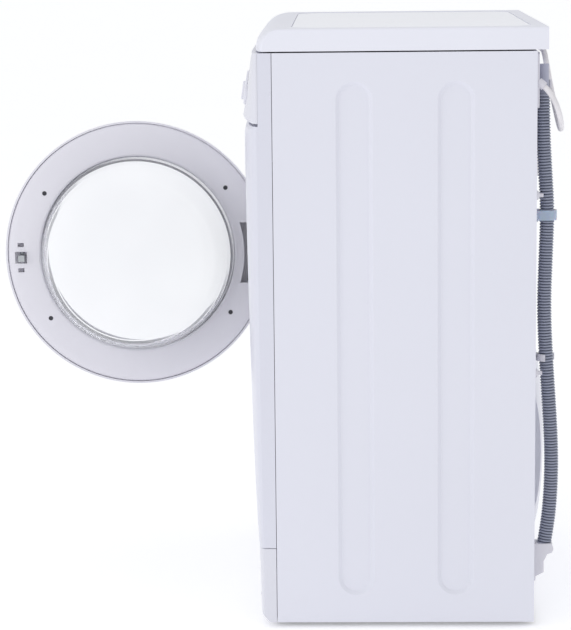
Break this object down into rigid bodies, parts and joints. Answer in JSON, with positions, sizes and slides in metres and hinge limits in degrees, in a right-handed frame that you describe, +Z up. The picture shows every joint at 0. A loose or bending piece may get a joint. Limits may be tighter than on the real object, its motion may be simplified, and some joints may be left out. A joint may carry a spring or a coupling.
{
  "type": "front-loading washing machine",
  "caption": "Slim front-loading washing machine, white steel cabinet with ribbed sides, round porthole door open at a right angle, drum and drive inside, drain hose and mains lead at the back.",
  "frame": {"origin": "on the floor, at the middle of the four feet and of the cabinet's plan", "axes": "+X right-hand side seen from the front, +Y towards the back, +Z up; the door is on -Y"},
  "size_m": [0.595, 0.853, 0.85],
  "materials": {
    "painted_steel": "satin white enamel",
    "front_enamel": "satin white enamel",
    "lid_plastic": "fine-grained white",
    "lid_board": "white laminate",
    "panel_plastic": "white ABS",
    "control_plastic": "light grey-white ABS",
    "tray_plastic": "pale blue-grey polypropylene",
    "display": "smoked window",
    "door_plastic": "white ABS, slightly warm",
    "door_glass": "clear moulded glass",
    "zinc": "zinc-plated",
    "dark_metal": "dark grey",
    "stainless": "satin stainless",
    "tub_plastic": "filled polypropylene",
    "cast": "rough cast concrete",
    "alloy": "die cast",
    "rubber_grey": "grey rubber",
    "rubber_black": "black rubber",
    "hose_grey": "grey corrugated polyethylene",
    "lead_white": "white PVC",
    "strap_plastic": "translucent bluish",
    "fitting_plastic": "light grey"
  },
  "bodies": {
    "cabinet": {"side_panel_right": "painted_steel", "side_panel_left": "painted_steel", "rear_panel": "painted_steel", "rear_cover": "painted_steel", "base_frame": "zinc", "feet": "rubber_black", "lid_frame": "lid_plastic", "lid_inlay": "lid_board", "front_panel": "front_enamel", "kickplate": "panel_plastic", "fascia": "panel_plastic", "display_window": "display", "dispenser_housing": "tray_plastic", "hinge_bracket": "zinc", "door_lock": "rubber_black", "damper_cylinders": "dark_metal", "drain_pump": "tub_plastic", "sump_hose": "rubber_black", "boot_gasket": "rubber_grey", "suspension_springs": "zinc", "inlet_valve": "fitting_plastic", "cord_gland": "fitting_plastic", "hose_elbow_bracket": "fitting_plastic", "hose_strap": "strap_plastic", "hose_holders": "fitting_plastic", "transit_caps": "fitting_plastic", "panel_screws": "zinc", "cord_hook": "fitting_plastic", "drain_hose": "hose_grey", "power_cord": "lead_white", "power_cord_coil": "lead_white", "power_plug": "lead_white"},
    "tub": {"tub_rear": "tub_plastic", "tub_front": "tub_plastic", "top_weight": "cast", "heater": "stainless", "motor": "dark_metal", "damper_rods": "stainless", "drive_belt": "rubber_black", "bearings": "stainless"},
    "drum": {"drum": "stainless", "drum_lifters": "tray_plastic", "drum_spider": "alloy", "drum_pulley": "alloy"},
    "motor_rotor": {"motor_pulley": "stainless"},
    "door": {"door_trim": "door_plastic", "door_inner_ring": "door_plastic", "door_screws": "zinc", "door_glass": "door_glass", "hinge_arm": "dark_metal"},
    "handle": {"door_handle": "door_plastic"},
    "hook": {"latch_hook": "zinc"},
    "knob": {"program_knob": "control_plastic"},
    "start": {"start_button": "control_plastic"},
    "option_1": {"option_button_1": "control_plastic"},
    "option_2": {"option_button_2": "control_plastic"},
    "option_3": {"option_button_3": "control_plastic"},
    "drawer": {"detergent_drawer": "panel_plastic"},
    "filter": {"filter_cap": "tray_plastic"},
    "flap": {"filter_flap": "panel_plastic"}
  },
  "joints": [
    {"name": "door_hinge", "type": "hinge", "parent": "cabinet", "child": "door", "pos_m": [-0.20675, -0.21175, 0.4696], "axis": [0, 0, 1], "range_deg": [-20, 90]},
    {"name": "handle_pull", "type": "hinge", "parent": "door", "child": "handle", "pos_m": [-0.244, -0.5965, 0.4696], "axis": [0, 0, 1], "range_deg": [-12, 0], "stiffness_Nm_per_rad": 0.6},
    {"name": "hook_turn", "type": "hinge", "parent": "door", "child": "hook", "pos_m": [-0.229, -0.6072, 0.4636], "axis": [0, 0, 1], "range_deg": [0, 12]},
    {"name": "tub_float", "type": "slide", "parent": "cabinet", "child": "tub", "axis": [0, 0, 1], "range_m": [-0.008, 0.008], "stiffness_N_per_m": 14000, "springref_m": 0.02322, "deforming": ["suspension_springs", "sump_hose", "boot_gasket"]},
    {"name": "drum_spin", "type": "hinge", "parent": "tub", "child": "drum", "pos_m": [0, 0, 0.4696], "axis": [0, 1, 0], "continuous": true},
    {"name": "motor_spin", "type": "hinge", "parent": "tub", "child": "motor_rotor", "pos_m": [0, 0, 0.142], "axis": [0, 1, 0], "continuous": true},
    {"name": "program_turn", "type": "hinge", "parent": "cabinet", "child": "knob", "pos_m": [0.055, -0.22239, 0.756], "axis": [0, 0.9903, -0.1392], "continuous": true},
    {"name": "drawer_slide", "type": "slide", "parent": "cabinet", "child": "drawer", "axis": [0, -1, 0], "range_m": [0, 0.165]},
    {"name": "filter_turn", "type": "hinge", "parent": "cabinet", "child": "filter", "pos_m": [0.2, -0.172, 0.064], "axis": [0, -1, 0], "range_deg": [0, 90]},
    {"name": "flap_drop", "type": "hinge", "parent": "cabinet", "child": "flap", "pos_m": [0.2, -0.2065, 0.031], "axis": [1, 0, 0], "range_deg": [0, 80]},
    {"name": "option_1_press", "type": "slide", "parent": "cabinet", "child": "option_1", "axis": [0, 0.9903, -0.1392], "range_m": [0, 0.002], "stiffness_N_per_m": 400, "springref_m": -0.001},
    {"name": "option_2_press", "type": "slide", "parent": "cabinet", "child": "option_2", "axis": [0, 0.9903, -0.1392], "range_m": [0, 0.002], "stiffness_N_per_m": 400, "springref_m": -0.001},
    {"name": "option_3_press", "type": "slide", "parent": "cabinet", "child": "option_3", "axis": [0, 0.9903, -0.1392], "range_m": [0, 0.002], "stiffness_N_per_m": 400, "springref_m": -0.001},
    {"name": "start_press", "type": "slide", "parent": "cabinet", "child": "start", "axis": [0, 0.9903, -0.1392], "range_m": [0, 0.002], "stiffness_N_per_m": 400, "springref_m": -0.001}
  ],
  "couplings": [
    {"joint": "hook_turn", "follows": "handle_pull", "ratio": -1},
    {"joint": "motor_spin", "follows": "drum_spin", "ratio": 12}
  ]
}
